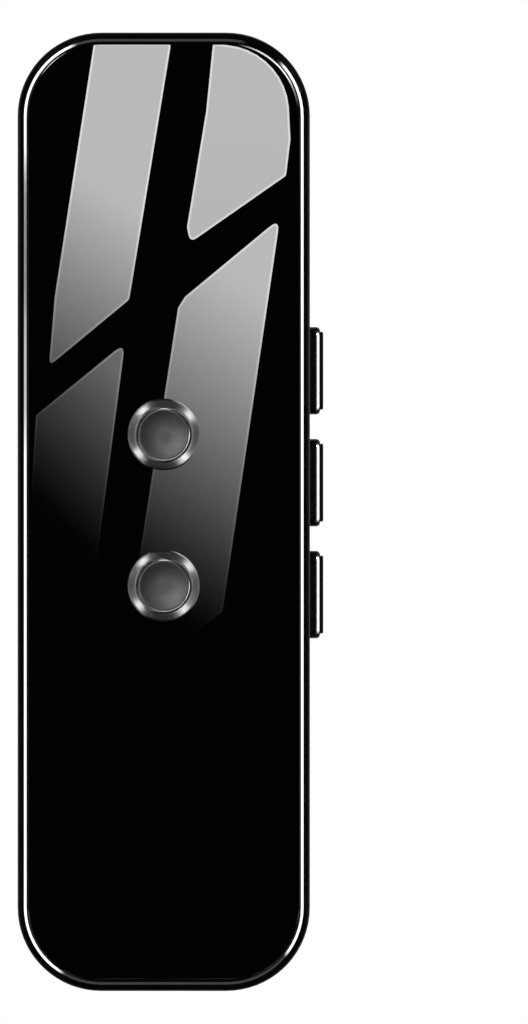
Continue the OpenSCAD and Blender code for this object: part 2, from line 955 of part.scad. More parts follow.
// The magnet pot, with the pole that reaches down into the cone
module speaker_magnet() {
    color([0.6, 0.6, 0.62])
        translate([0, speaker_y, basket_top_z - basket_floor]) {
            cylinder(d = pot_d, h = pot_h);
            translate([0, 0, -pole_h])
                cylinder(d = pole_d, h = pole_h + join);
        }
}

// The cone: a domed middle, a flat ring and a half-round surround that reaches the basket's wall
module speaker_cone() {
    dome_base_r = (dome_rise + dome_r * dome_r / dome_rise) / 2;
    color([0.08, 0.08, 0.08])
        translate([0, speaker_y, basket_z + film_t])
            rotate_extrude() {
                intersection() {
                    difference() {
                        translate([0, dome_rise - dome_base_r])
                            circle(dome_base_r);
                        translate([0, dome_rise - dome_base_r])
                            circle(dome_base_r - film_t);
                    }
                    square([dome_r + film_t, dome_rise]);
                }
                translate([dome_r - film_t, 0])
                    square([cone_r - 2 * surround_r - dome_r + 2 * film_t, film_t]);
                intersection() {
                    translate([cone_r - surround_r, 0])
                        difference() {
                            circle(surround_r);
                            circle(surround_r - film_t);
                        }
                    translate([cone_r - 2 * surround_r, 0])
                        square([2 * surround_r, surround_r]);
                }
            }
}

module speaker_gasket() {
    color([0.06, 0.06, 0.06])
        translate([0, speaker_y, cover_in_z])
            difference() {
                cylinder(d = speaker_d, h = gasket_t);
                translate([0, 0, -over])
                    cylinder(d = speaker_d - 2 * gasket_w, h = gasket_t + 2 * over);
            }
}

module speaker_mesh() {
    color([0.05, 0.05, 0.05])
        translate([0, speaker_y, cover_in_z])
            cylinder(d = speaker_d - 2 * gasket_w - 2 * seat_gap, h = mesh_t);
}

// A wire that runs down the body for l, bends towards the board and ends after a rise
module bent_wire(l, d, bend, rise) {
    rotate([90, 0, 0])
        cylinder(d = d, h = l);
    translate([0, -l, bend])
        rotate([90, 0, 90])
            rotate([0, 0, 180])
                rotate_extrude(angle = 90)
                    translate([bend, 0])
                        circle(d / 2);
    translate([0, -l - bend, bend])
        cylinder(d = d, h = rise - bend);
}

module speaker_leads() {
    color([0.05, 0.05, 0.05])
        for (x = speaker_lead_x)
            translate([x, speaker_y - speaker_d / 2, speaker_lead_z])
                bent_wire(speaker_lead_l, speaker_lead_d, speaker_lead_bend, pad_z - speaker_lead_z);
}

// The microphone capsule, which faces the hole in the bottom end
module microphone_capsule() {
    color([0.7, 0.7, 0.72])
        translate([mic_x, mic_y + mic_l, mic_z])
            rotate([90, 0, 0])
                cylinder(d = mic_d - 2 * seat_gap, h = mic_l);
}

// The rubber boot that seals the capsule to the bottom wall
module microphone_boot() {
    color([0.05, 0.05, 0.05])
        translate([mic_x, boot_y + boot_l, mic_z])
            rotate([90, 0, 0])
                difference() {
                    cylinder(r = boot_r, h = boot_l);
                    translate([0, 0, -over])
                        cylinder(d = mic_d, h = mic_l + over);
                    cylinder(d = mic_hole_d + 2 * boot_hole_gap, h = boot_l + over);
                }
}

module microphone_leads() {
    color([0.8, 0.75, 0.5])
        for (side = [-1, 1])
            translate([mic_x + side * mic_pin_x, mic_y + mic_l, mic_z])
                mirror([0, 1, 0])
                    bent_wire(mic_pin_l, mic_pin_d, mic_pin_bend, pad_z - mic_z);
}

// The charging socket's drawn shell, open at the bottom end
module usb_shell() {
    color([0.72, 0.72, 0.74])
        translate([0, usb_end_y, usb_z])
            rotate([90, 0, 0])
                difference() {
                    linear_extrude(usb_depth)
                        stadium(usb_w, usb_t);
                    translate([0, 0, usb_wall])
                        linear_extrude(usb_depth)
                            stadium(usb_w - 2 * usb_wall, usb_t - 2 * usb_wall);
                }
}

// The socket's contact tongue on its moulded base
module usb_tongue() {
    color([0.05, 0.05, 0.05])
        translate([0, usb_end_y - usb_wall, usb_z])
            rotate([90, 0, 0]) {
                linear_extrude(usb_base_l)
                    stadium(usb_w - 2 * usb_wall - 2 * seat_gap, usb_t - 2 * usb_wall - 2 * seat_gap);
                translate([-usb_tongue_w / 2, -usb_tongue_t / 2, 0])
                    cube([usb_tongue_w, usb_tongue_t, usb_depth - usb_wall - usb_tongue_setback]);
            }
}

// Stands its child up on the bottom end, with the glass to -Y
module stand() {
    rotate([90, 0, 0])
        children();
}

stand() mid_frame();
stand() front_glass();
stand() glass_tape();
stand() front_trim();
stand() rear_trim();
stand() back_cover();
stand() case_screws();
stand() upper_button_bezel();
stand() lower_button_bezel();
stand() upper_button_cap();
stand() lower_button_cap();
stand() upper_switch_body();
stand() lower_switch_body();
stand() upper_switch_plunger();
stand() lower_switch_plunger();
stand() volume_up_key();
stand() volume_down_key();
stand() power_key();
stand() volume_up_switch();
stand() volume_down_switch();
stand() power_switch();
stand() volume_up_plunger();
stand() volume_down_plunger();
stand() power_plunger();
stand() main_board();
stand() board_screws();
stand() processor_chip();
stand() memory_chip();
stand() radio_shield();
stand() clock_crystal();
stand() chip_antenna();
stand() battery_cell();
stand() battery_tape();
stand() battery_guard_board();
stand() battery_leads();
stand() battery_connector();
stand() speaker_basket();
stand() speaker_magnet();
stand() speaker_cone();
stand() speaker_gasket();
stand() speaker_mesh();
stand() speaker_leads();
stand() microphone_capsule();
stand() microphone_boot();
stand() microphone_leads();
stand() usb_shell();
stand() usb_tongue();
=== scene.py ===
"""Looks for the handheld translator: its materials, a pale studio floor, soft lamps, reflectors and the camera."""

import json
import math

import bpy
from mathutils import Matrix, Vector

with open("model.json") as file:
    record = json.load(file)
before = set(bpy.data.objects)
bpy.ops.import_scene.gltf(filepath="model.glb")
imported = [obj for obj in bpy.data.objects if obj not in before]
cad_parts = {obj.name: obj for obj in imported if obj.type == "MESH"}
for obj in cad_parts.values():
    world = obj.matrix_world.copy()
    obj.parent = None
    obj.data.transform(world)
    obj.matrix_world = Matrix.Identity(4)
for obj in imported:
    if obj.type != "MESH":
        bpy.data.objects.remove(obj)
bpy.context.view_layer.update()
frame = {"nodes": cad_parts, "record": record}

MM = 0.001
BODY_HEIGHT = 140 * MM
MIDDLE = Vector((0, 0, BODY_HEIGHT / 2))
BLACK = (0, 0, 0, 1)
WHITE = (1, 1, 1, 1)

# ---------------------------------------------------------------- node helpers


def add(tree, kind, inputs=None, **settings):
    """A new node. An input that is a socket is linked, and any other is set."""
    node = tree.nodes.new(kind)
    for key, value in settings.items():
        setattr(node, key, value)
    for key, value in (inputs or {}).items():
        if isinstance(value, bpy.types.NodeSocket):
            tree.links.new(value, node.inputs[key])
        else:
            node.inputs[key].default_value = value
    return node


def maths(tree, operation, *values):
    """One Math node's output."""
    return add(tree, "ShaderNodeMath", dict(enumerate(values)), operation=operation).outputs[0]


def product(tree, first, *others):
    """The product of two or more values."""
    for value in others:
        first = maths(tree, "MULTIPLY", first, value)
    return first


def weighed(tree, first, first_share, second, second_share):
    """The sum of two values, each times its share."""
    return maths(tree, "ADD", product(tree, first, first_share), product(tree, second, second_share))


def vectors(tree, operation, *values):
    """One Vector Math node's vector."""
    return add(tree, "ShaderNodeVectorMath", dict(enumerate(values)), operation=operation).outputs[0]


def length_of(tree, vector):
    return add(tree, "ShaderNodeVectorMath", {0: vector}, operation="LENGTH").outputs["Value"]


def axes_of(tree, vector):
    return add(tree, "ShaderNodeSeparateXYZ", {0: vector}).outputs


def mix(tree, share, start, end):
    """A value between two, by a share from 0 to 1."""
    return add(tree, "ShaderNodeMix", {0: share, 2: start, 3: end}).outputs[0]


def mix_colour(tree, share, start, end):
    """A colour between two, by a share from 0 to 1."""
    return add(tree, "ShaderNodeMix", {0: share, 6: start, 7: end}, data_type="RGBA").outputs[2]


def spread(tree, value, low, high, to_low=0.0, to_high=1.0, smooth=False):
    """A value from low to high, mapped to to_low to to_high and held there beyond."""
    kind = "SMOOTHSTEP" if smooth else "LINEAR"
    values = {0: value, 1: low, 2: high, 3: to_low, 4: to_high}
    return add(tree, "ShaderNodeMapRange", values, interpolation_type=kind).outputs[0]


def past(tree, value, edge, soft, smooth=False):
    """0 below an edge and 1 above it, with a soft step."""
    return spread(tree, value, edge - soft, edge + soft, smooth=smooth)


def short_of(tree, value, edge, soft, smooth=False):
    """1 below an edge and 0 above it, with a soft step."""
    return spread(tree, value, edge - soft, edge + soft, 1.0, 0.0, smooth=smooth)


def place(tree, stretch=(1, 1, 1)):
    """The point on the object in millimetres, stretched along the axes."""
    spot = add(tree, "ShaderNodeTexCoord").outputs["Object"]
    return vectors(tree, "MULTIPLY", spot, [s / MM for s in stretch])


def noise(tree, spot, scale, detail=2.0, rough=0.5, twist=0.0):
    values = {"Vector": spot, "Scale": scale, "Detail": detail, "Roughness": rough, "Distortion": twist}
    return add(tree, "ShaderNodeTexNoise", values).outputs["Fac"]


def tint(tree, value, dark, light, low=0.3, high=0.7):
    """A colour between two, by a value."""
    ramp = add(tree, "ShaderNodeValToRGB", {"Fac": value})
    ends = ramp.color_ramp.elements
    ends[0].position, ends[1].position = low, high
    ends[0].color, ends[1].color = (*dark, 1), (*light, 1)
    return ramp.outputs["Color"]


def gloss(tree, value, low, high):
    """A roughness from low to high, by a noise."""
    return spread(tree, value, 0.3, 0.7, low, high)


def bump(tree, height, depth_mm, strength=1.0):
    values = {"Height": height, "Distance": depth_mm * MM, "Strength": strength}
    return add(tree, "ShaderNodeBump", values).outputs["Normal"]


def material(name):
    """A new material with its node tree and its Principled shader."""
    made = bpy.data.materials.new(name)
    made.use_nodes = True
    tree = made.node_tree
    return made, tree, tree.nodes["Principled BSDF"]


def bare_material(name):
    """A new material with an empty node tree, apart from its output."""
    made = bpy.data.materials.new(name)
    made.use_nodes = True
    tree = made.node_tree
    tree.nodes.clear()
    return made, tree, add(tree, "ShaderNodeOutputMaterial").inputs["Surface"]


def glow(tree, strength):
    """The output of a white light."""
    return add(tree, "ShaderNodeEmission", {"Color": WHITE, "Strength": strength}).outputs[0]


def clear(tree):
    return add(tree, "ShaderNodeBsdfTransparent").outputs[0]


def feed(tree, shader, **inputs):
    """Sets or links the shader's sockets; a word's underscores stand for spaces."""
    for key, value in inputs.items():
        socket = shader.inputs[key.replace("_", " ")]
        if isinstance(value, bpy.types.NodeSocket):
            tree.links.new(value, socket)
        else:
            socket.default_value = value


# ------------------------------------------------------------------- materials
# Noise scales are in cycles a millimetre, and depths and radii in millimetres.


def moulded(name, dark, light, rough, grain_mm=0.12, depth_mm=0.006, sheen=0.4):
    """Moulded plastic: a mottled colour, a fine spark-eroded skin and uneven gloss."""
    made, tree, shader = material(name)
    spot = place(tree)
    cloud = noise(tree, spot, 0.35, 3)
    grain = noise(tree, spot, 1 / grain_mm, 2)
    feed(
        tree,
        shader,
        Base_Color=tint(tree, cloud, dark, light),
        Roughness=gloss(tree, grain, rough - 0.05, rough + 0.05),
        Specular_IOR_Level=sheen,
        Normal=bump(tree, grain, depth_mm),
    )
    return made


def metal(name, dark, light, rough, stretch=(1, 1, 1), grain_mm=0.1):
    """Bare or plated metal: drawing lines or a fine grain, uneven colour and gloss."""
    made, tree, shader = material(name)
    cloud = noise(tree, place(tree), 0.6, 3)
    line = noise(tree, place(tree, stretch), 1 / grain_mm, 2)
    feed(
        tree,
        shader,
        Base_Color=tint(tree, cloud, dark, light),
        Metallic=1.0,
        Roughness=gloss(tree, line, rough * 0.8, rough * 1.2),
        Normal=bump(tree, line, 0.002),
    )
    return made


# The frame's and the keys' black, between these two
GLOSS_BLACK = (0.0015, 0.0015, 0.0018), (0.0035, 0.0035, 0.004)


def frame_gloss():
    """The side band: black plastic under a thin lacquer, with faint lines from handling along its length."""
    made, tree, shader = material("frame_gloss")
    cloud = noise(tree, place(tree), 0.25, 3)
    skin = noise(tree, place(tree), 5.0, 2)
    rub = noise(tree, place(tree, (1.0, 1.0, 0.06)), 3.0, 2)
    feed(
        tree,
        shader,
        Base_Color=tint(tree, cloud, *GLOSS_BLACK),
        Roughness=spread(tree, weighed(tree, skin, 0.5, rub, 0.5), 0.35, 0.65, 0.2, 0.28),
        Specular_IOR_Level=0.04,
        Normal=bump(tree, skin, 0.0004),
    )
    return made


KEY_PITCH = 16.35
LOW_KEY_Z = 57.9
KEY_MID_Y = -0.075
# Where a key is polished: from one height off the frame to another, at least so far to the side of the key's middle
# line, and up to so far from its middle along it
POLISH_X = (22.25, 22.87)
POLISH_ACROSS = 1.15
POLISH_ALONG = 5.75


def key_gloss():
    """The side keys: gloss black with a polished metal flank along both long sides."""
    made, tree, shader = material("key_gloss")
    spot = place(tree)
    axes = axes_of(tree, spot)
    along = maths(tree, "WRAP", axes["Z"], LOW_KEY_Z + KEY_PITCH / 2, LOW_KEY_Z - KEY_PITCH / 2)
    along = maths(tree, "ABSOLUTE", maths(tree, "SUBTRACT", along, LOW_KEY_Z))
    across = maths(tree, "ABSOLUTE", maths(tree, "SUBTRACT", axes["Y"], KEY_MID_Y))
    polished = product(
        tree,
        past(tree, axes["X"], POLISH_X[0], 0.02),
        short_of(tree, axes["X"], POLISH_X[1], 0.02),
        past(tree, across, POLISH_ACROSS, 0.02),
        short_of(tree, along, POLISH_ALONG, 0.05),
    )
    skin = noise(tree, spot, 6.0, 2)
    black = tint(tree, noise(tree, spot, 0.6, 3), *GLOSS_BLACK)
    chrome = tint(tree, skin, (0.68, 0.685, 0.7), (0.76, 0.765, 0.775))
    feed(
        tree,
        shader,
        Base_Color=mix_colour(tree, polished, black, chrome),
        Metallic=polished,
        Roughness=gloss(tree, skin, 0.12, 0.18),
        Specular_IOR_Level=0.06,
        Normal=bump(tree, skin, 0.0003),
    )
    return made


def trim_metal():
    """The bright plated strips: mirror finish with hairlines along their run."""
    made, tree, shader = material("trim_metal")
    hair = noise(tree, place(tree, (1.0, 1.0, 0.08)), 9.0, 2)
    cloud = noise(tree, place(tree), 0.4, 3)
    feed(
        tree,
        shader,
        Base_Color=tint(tree, cloud, (0.87, 0.88, 0.9), (0.93, 0.935, 0.945)),
        Metallic=1.0,
        Roughness=gloss(tree, hair, 0.05, 0.11),
        Normal=bump(tree, hair, 0.0003),
    )
    return made


# The centres of the body's round corners, and the glass's own radii
CORNER_X = 9.15
CORNER_Z = (12.2, 127.8)
GLASS_CORNER_R = 10.86
GLASS_EDGE_R = 0.45


def round_edge(tree, corner_r, edge_r):
    """For a flat face towards -Y with round corners and a round edge: how far over the edge a point lies, from 0
    to 1, and its true normal."""
    axes = axes_of(tree, place(tree))
    beside = maths(tree, "SUBTRACT", maths(tree, "ABSOLUTE", axes["X"]), CORNER_X)
    across = product(tree, maths(tree, "MAXIMUM", beside, 0.0), maths(tree, "SIGN", axes["X"]))
    above = maths(tree, "MAXIMUM", maths(tree, "SUBTRACT", axes["Z"], CORNER_Z[1]), 0.0)
    below = maths(tree, "MINIMUM", maths(tree, "SUBTRACT", axes["Z"], CORNER_Z[0]), 0.0)
    along = maths(tree, "ADD", above, below)
    from_corner = add(tree, "ShaderNodeCombineXYZ", {"X": across, "Z": along}).outputs[0]
    lean = spread(tree, length_of(tree, from_corner), corner_r - edge_r, corner_r)
    upright = maths(tree, "SQRT", maths(tree, "SUBTRACT", 1.0, product(tree, lean, lean)))
    outward = vectors(tree, "NORMALIZE", from_corner)
    sideways = add(tree, "ShaderNodeVectorMath", {0: outward, "Scale": lean}, operation="SCALE").outputs[0]
    forward = add(tree, "ShaderNodeCombineXYZ", {"Y": product(tree, upright, -1.0)}).outputs[0]
    normal = {"Vector": vectors(tree, "ADD", sideways, forward)}
    settings = {"vector_type": "NORMAL", "convert_from": "OBJECT", "convert_to": "WORLD"}
    return lean, add(tree, "ShaderNodeVectorTransform", normal, **settings).outputs[0]


def black_glass():
    """Polished glass over black print. Its surface is truly flat, so it mirrors the cards without a ripple, and the
    last of its round edge is ground and blackened."""
    made, tree, shader = material("black_glass")
    print_coat = noise(tree, place(tree), 1.4, 4, 0.6)
    lean, normal = round_edge(tree, GLASS_CORNER_R, GLASS_EDGE_R)
    feed(
        tree,
        shader,
        Base_Color=tint(tree, print_coat, (0.0004, 0.0004, 0.0005), (0.0009, 0.0009, 0.0011)),
        Roughness=0.0,
        IOR=1.5,
        Specular_IOR_Level=spread(tree, lean, 0.64, 0.72, 0.5, 0.02),
        Normal=normal,
    )
    return made


def cover_grain():
    """The back cover: charcoal plastic with a fine leather grain, cells with soft creases between them, and painted
    shade that darkens the creases.
    """
    made, tree, shader = material("cover_grain")
    spot = place(tree)
    drift = add(tree, "ShaderNodeTexNoise", {"Vector": spot, "Scale": 1.1, "Detail": 2.0}).outputs["Color"]
    bent = vectors(tree, "MULTIPLY_ADD", drift, (0.35, 0.35, 0.35), spot)
    values = {"Vector": bent, "Scale": 2.3, "Randomness": 1.0}
    cells = add(tree, "ShaderNodeTexVoronoi", values, feature="DISTANCE_TO_EDGE").outputs["Distance"]
    crease = spread(tree, cells, 0.0, 0.16, smooth=True)
    sand = noise(tree, spot, 7.0, 3, 0.6)
    height = weighed(tree, crease, 0.6, sand, 0.7)
    # The colour partly follows the grain's height: painted shade darkens the creases and low spots, and the rest is
    # random tone.
    tone = weighed(tree, height, 0.55, noise(tree, spot, 0.12, 3), 0.45)
    feed(
        tree,
        shader,
        Base_Color=tint(tree, tone, (0.006, 0.0062, 0.007), (0.026, 0.0265, 0.029), 0.3, 0.85),
        Roughness=spread(tree, height, 0.3, 1.1, 0.6, 0.45),
        Specular_IOR_Level=0.05,
        Normal=bump(tree, height, 0.045),
    )
    return made


def from_axis(tree, outer_mm):
    """The distance in millimetres from the axis of a round piece outer_mm across."""
    spot = add(tree, "ShaderNodeTexCoord").outputs["Generated"]
    centred = vectors(tree, "SUBTRACT", spot, (0.5, 0.5, 0.5))
    return length_of(tree, vectors(tree, "MULTIPLY", centred, (outer_mm, 0, outer_mm)))


BEZEL_D = 10.5
# The bezel's bright face lies between these radii, and at each edge its colour fades darker between two, a painted
# shade
BEZEL_INNER_EDGE = (4.2, 4.3)
BEZEL_OUTER_EDGE = (4.93, 5.08)
BEZEL_RING = 0.045


def bezel_metal():
    """The button bezels: steel turned on a lathe, with its edges painted darker as painted shade. Its fine rings
    stretch each highlight into a ray."""
    made, tree, shader = material("bezel_metal")
    radius = from_axis(tree, BEZEL_D)
    values = {"W": maths(tree, "DIVIDE", radius, BEZEL_RING), "Scale": 1.0, "Detail": 2.0}
    rings = add(tree, "ShaderNodeTexNoise", values, noise_dimensions="1D").outputs["Fac"]
    cut = weighed(tree, rings, 0.8, noise(tree, place(tree), 9.0, 2, 0.6), 0.2)
    # Painted shade: the colour darkens towards both edges of the ring, so they don't catch the room's light.
    inner_shade = spread(tree, radius, *BEZEL_INNER_EDGE, 0.4, 1.0)
    outer = spread(tree, radius, *BEZEL_OUTER_EDGE, 1.0, 0.22)
    steel = tint(tree, cut, (0.6, 0.605, 0.615), (0.8, 0.805, 0.815))
    feed(
        tree,
        shader,
        Base_Color=mix_colour(tree, product(tree, inner_shade, outer), BLACK, steel),
        Metallic=1.0,
        Roughness=gloss(tree, cut, 0.26, 0.31),
        Anisotropic=1.0,
        Anisotropic_Rotation=0.25,
        Tangent=add(tree, "ShaderNodeTangent", direction_type="RADIAL", axis="Y").outputs[0],
        Normal=bump(tree, cut, 0.001),
    )
    return made


CAP_D = 7.8
CAP_FLANGE_D = 9.1
CAP_EDGE_R = 0.32


def cap_metal():
    """The button caps: dark anodised metal, blasted to a fine grain, with a polished edge."""
    made, tree, shader = material("cap_metal")
    spot = place(tree)
    sand = noise(tree, spot, 11.0, 3, 0.65)
    face_r = CAP_D / 2 - CAP_EDGE_R
    edge = spread(tree, from_axis(tree, CAP_FLANGE_D), face_r + 0.06, face_r + 0.12)
    tone = weighed(tree, sand, 0.75, noise(tree, spot, 0.7, 2), 0.25)
    matt = tint(tree, tone, (0.04, 0.04, 0.043), (0.08, 0.08, 0.085))
    feed(
        tree,
        shader,
        Base_Color=mix_colour(tree, edge, matt, (0.24, 0.24, 0.25, 1)),
        Metallic=1.0,
        Roughness=mix(tree, edge, gloss(tree, sand, 0.38, 0.46), 0.22),
        Normal=bump(tree, sand, 0.005),
    )
    return made


def board_green():
    """Solder mask over copper tracks: a green skin with raised, paler tracks under it."""
    made, tree, shader = material("board_green")
    spot = place(tree)
    values = {"Vector": spot, "Scale": 0.9, "Randomness": 0.35}
    tracks = add(tree, "ShaderNodeTexVoronoi", values, feature="F1", distance="CHEBYCHEV").outputs["Distance"]
    lines = spread(tree, maths(tree, "PINGPONG", tracks, 0.08), 0.03, 0.05)
    tone = weighed(tree, lines, 0.7, noise(tree, spot, 0.8), 0.3)
    feed(
        tree,
        shader,
        Base_Color=tint(tree, tone, (0.006, 0.06, 0.026), (0.014, 0.12, 0.05), 0.2, 0.9),
        Roughness=gloss(tree, noise(tree, spot, 4.0), 0.3, 0.42),
        Normal=bump(tree, lines, 0.03),
    )
    return made


HALF_THREAD_PITCH = 0.11


def woven_mesh():
    """The dust mesh behind the grille: fine black threads crossing, seen through the holes."""
    made, tree, shader = material("mesh_black")
    axes = axes_of(tree, place(tree))
    warp = maths(tree, "PINGPONG", axes["X"], HALF_THREAD_PITCH)
    weft = maths(tree, "PINGPONG", axes["Z"], HALF_THREAD_PITCH)
    thread = maths(tree, "MAXIMUM", warp, weft)
    feed(
        tree,
        shader,
        Base_Color=tint(tree, thread, (0.0005, 0.0005, 0.0005), (0.006, 0.006, 0.0065), 0.055, 0.1),
        Roughness=spread(tree, thread, 0.04, 0.11, 0.8, 0.5),
        Specular_IOR_Level=0.03,
        Normal=bump(tree, thread, 0.05),
    )
    return made


def foil():
    """The cell's laminated foil: soft wrinkles under a satin aluminium skin."""
    made, tree, shader = material("cell_foil")
    spot = place(tree)
    wrinkle = noise(tree, spot, 0.22, 4, 0.55, 0.6)
    feed(
        tree,
        shader,
        Base_Color=tint(tree, wrinkle, (0.52, 0.53, 0.55), (0.66, 0.67, 0.69)),
        Metallic=0.9,
        Roughness=gloss(tree, noise(tree, spot, 3.0), 0.26, 0.4),
        Normal=bump(tree, wrinkle, 0.25, 0.6),
    )
    return made


colours = {entry["slot"]: entry["base_color"] for entry in frame["record"]["materials"]}


def near(slot, share):
    """A darker and a lighter neighbour of a slot's colour."""
    colour = colours[slot][:3]
    return [c * (1 - share) for c in colour], [min(1.0, c * (1 + share)) for c in colour]


def plain(slot, rough, *grain):
    """Moulded plastic in the slot's own colour."""
    return moulded(slot, *near(slot, 0.3), rough, *grain)


def bare(slot, rough, *grain):
    """Bare metal in the slot's own colour."""
    return metal(slot, *near(slot, 0.12), rough, *grain)


finishes = {
    "frame_gloss": frame_gloss(),
    "key_gloss": key_gloss(),
    "trim_metal": trim_metal(),
    "black_glass": black_glass(),
    "cover_grain": cover_grain(),
    "bezel_metal": bezel_metal(),
    "cap_metal": cap_metal(),
    "board_green": board_green(),
    "mesh_black": woven_mesh(),
    "cell_foil": foil(),
    # Roughness, then the grain's size, depth and sheen where they aren't the usual ones
    "tape": plain("tape", 0.85, 0.3, 0.02, 0.2),
    "switch_black": plain("switch_black", 0.6),
    "switch_plunger": plain("switch_plunger", 0.5),
    "chip_black": plain("chip_black", 0.55, 0.06, 0.01),
    "antenna_white": plain("antenna_white", 0.35, 0.1, 0.003),
    "lead_black": plain("lead_black", 0.45, 0.2, 0.01),
    "lead_red": plain("lead_red", 0.45, 0.2, 0.01),
    "connector_white": plain("connector_white", 0.5),
    "basket_black": plain("basket_black", 0.6, 0.2, 0.01),
    "cone_black": plain("cone_black", 0.35, 0.25, 0.01),
    "foam_black": plain("foam_black", 0.95, 0.25, 0.06, 0.15),
    "boot_rubber": plain("boot_rubber", 0.8, 0.2, 0.01, 0.2),
    "tongue_black": plain("tongue_black", 0.45),
    # Roughness, then the stretch of the drawing lines and the grain's size
    "screw_steel": bare("screw_steel", 0.32, (1, 0.2, 1)),
    "shield_steel": bare("shield_steel", 0.35, (1, 1, 0.1), 0.15),
    "magnet_iron": bare("magnet_iron", 0.3),
    "capsule_metal": bare("capsule_metal", 0.28, (1, 1, 0.15)),
    "pin_brass": bare("pin_brass", 0.35),
    "socket_steel": bare("socket_steel", 0.22, (1, 1, 0.12)),
}

for part in frame["record"]["subparts"]:
    surface = frame["nodes"][part["node"]]
    surface.data.materials.clear()
    surface.data.materials.append(finishes[part["material_slot"]])

# ----------------------------------------------------------------------- world

BACK_LIGHT = 1.0
SIDE_LIGHT = 0.12
EDGE_LIGHT = 0.055
PLAIN_LIGHT = 0.4
# The lit zones of the room, in degrees round the depth axis: 0 is straight to the side and 90 is up
RIGHT_ZONE = (-38, 43)
LEFT_ZONE = (-58, 68)
TOP_ZONE = (77, 112)
BOTTOM_ZONE = (-122, -40)
# How far ahead or behind a direction points, from 0 to 1, where a light fades
SIDE_FADE = (0.5, 0.66)
EDGE_FADE = (0.5, 0.9)
BACK_FADE = (0.02, 0.3)
ZONE_SOFT = math.radians(3)


def zone(tree, angle, low, high):
    """1 where an angle lies from low to high degrees, with soft ends."""
    rise = past(tree, angle, math.radians(low), ZONE_SOFT, smooth=True)
    fall = short_of(tree, angle, math.radians(high), ZONE_SOFT, smooth=True)
    return product(tree, rise, fall)


def build_world():
    """White behind the object, a faint light at its two sides and ends, and a dark room in front of it. The camera
    sees white all round, also through glass, and matt surfaces see one plain level."""
    world = bpy.data.worlds.new("studio")
    world.use_nodes = True
    world.cycles.sampling_method = "NONE"
    bpy.context.scene.world = world
    tree = world.node_tree
    tree.nodes.clear()
    axes = axes_of(tree, add(tree, "ShaderNodeTexCoord").outputs["Generated"])
    ahead = product(tree, axes["Y"], -1.0)
    right_angle = maths(tree, "ARCTAN2", axes["Z"], axes["X"])
    left_angle = maths(tree, "ARCTAN2", axes["Z"], product(tree, axes["X"], -1.0))
    beside = maths(tree, "MAXIMUM", zone(tree, right_angle, *RIGHT_ZONE), zone(tree, left_angle, *LEFT_ZONE))
    sides = product(tree, beside, spread(tree, ahead, *SIDE_FADE, SIDE_LIGHT, 0.0, smooth=True))
    beyond = maths(tree, "MAXIMUM", zone(tree, right_angle, *TOP_ZONE), zone(tree, right_angle, *BOTTOM_ZONE))
    ends = product(tree, beyond, spread(tree, ahead, *EDGE_FADE, EDGE_LIGHT, 0.0, smooth=True))
    behind = spread(tree, axes["Y"], *BACK_FADE, 0.0, BACK_LIGHT, smooth=True)
    room = maths(tree, "MAXIMUM", maths(tree, "MAXIMUM", sides, ends), behind)
    ray = add(tree, "ShaderNodeLightPath").outputs
    mirrored = mix(tree, ray["Is Glossy Ray"], PLAIN_LIGHT, room)
    seen = maths(tree, "MAXIMUM", ray["Is Camera Ray"], ray["Is Transmission Ray"])
    back = add(tree, "ShaderNodeBackground", {"Color": WHITE, "Strength": mix(tree, seen, mirrored, 1.0)})
    tree.links.new(back.outputs[0], add(tree, "ShaderNodeOutputWorld").inputs[0])


build_world()

# ----------------------------------------------------------------------- floor

FLOOR_LOW = (-3.0, -0.28)
FLOOR_HIGH = (3.0, 4.0)
FLOOR_LEVEL = -0.05 * MM
# In millimetres: how far from the object the paper turns white, and where it shows in mirrors, beside the object,
# in front of it and behind it
PAPER_FADE = (15, 190)
MIRROR_BESIDE = (30, 130)
MIRROR_AHEAD = (-275, -150)
MIRROR_BEHIND = (15, 90)
MIRROR_SHARE = 0.6


def mesh_object(name, corners, faces):
    """A new object that is part of the stage."""
    data = bpy.data.meshes.new(name)
    data.from_pydata(corners, [], faces)
    made = bpy.data.objects.new(name, data)
    bpy.context.scene.collection.objects.link(made)
    return made


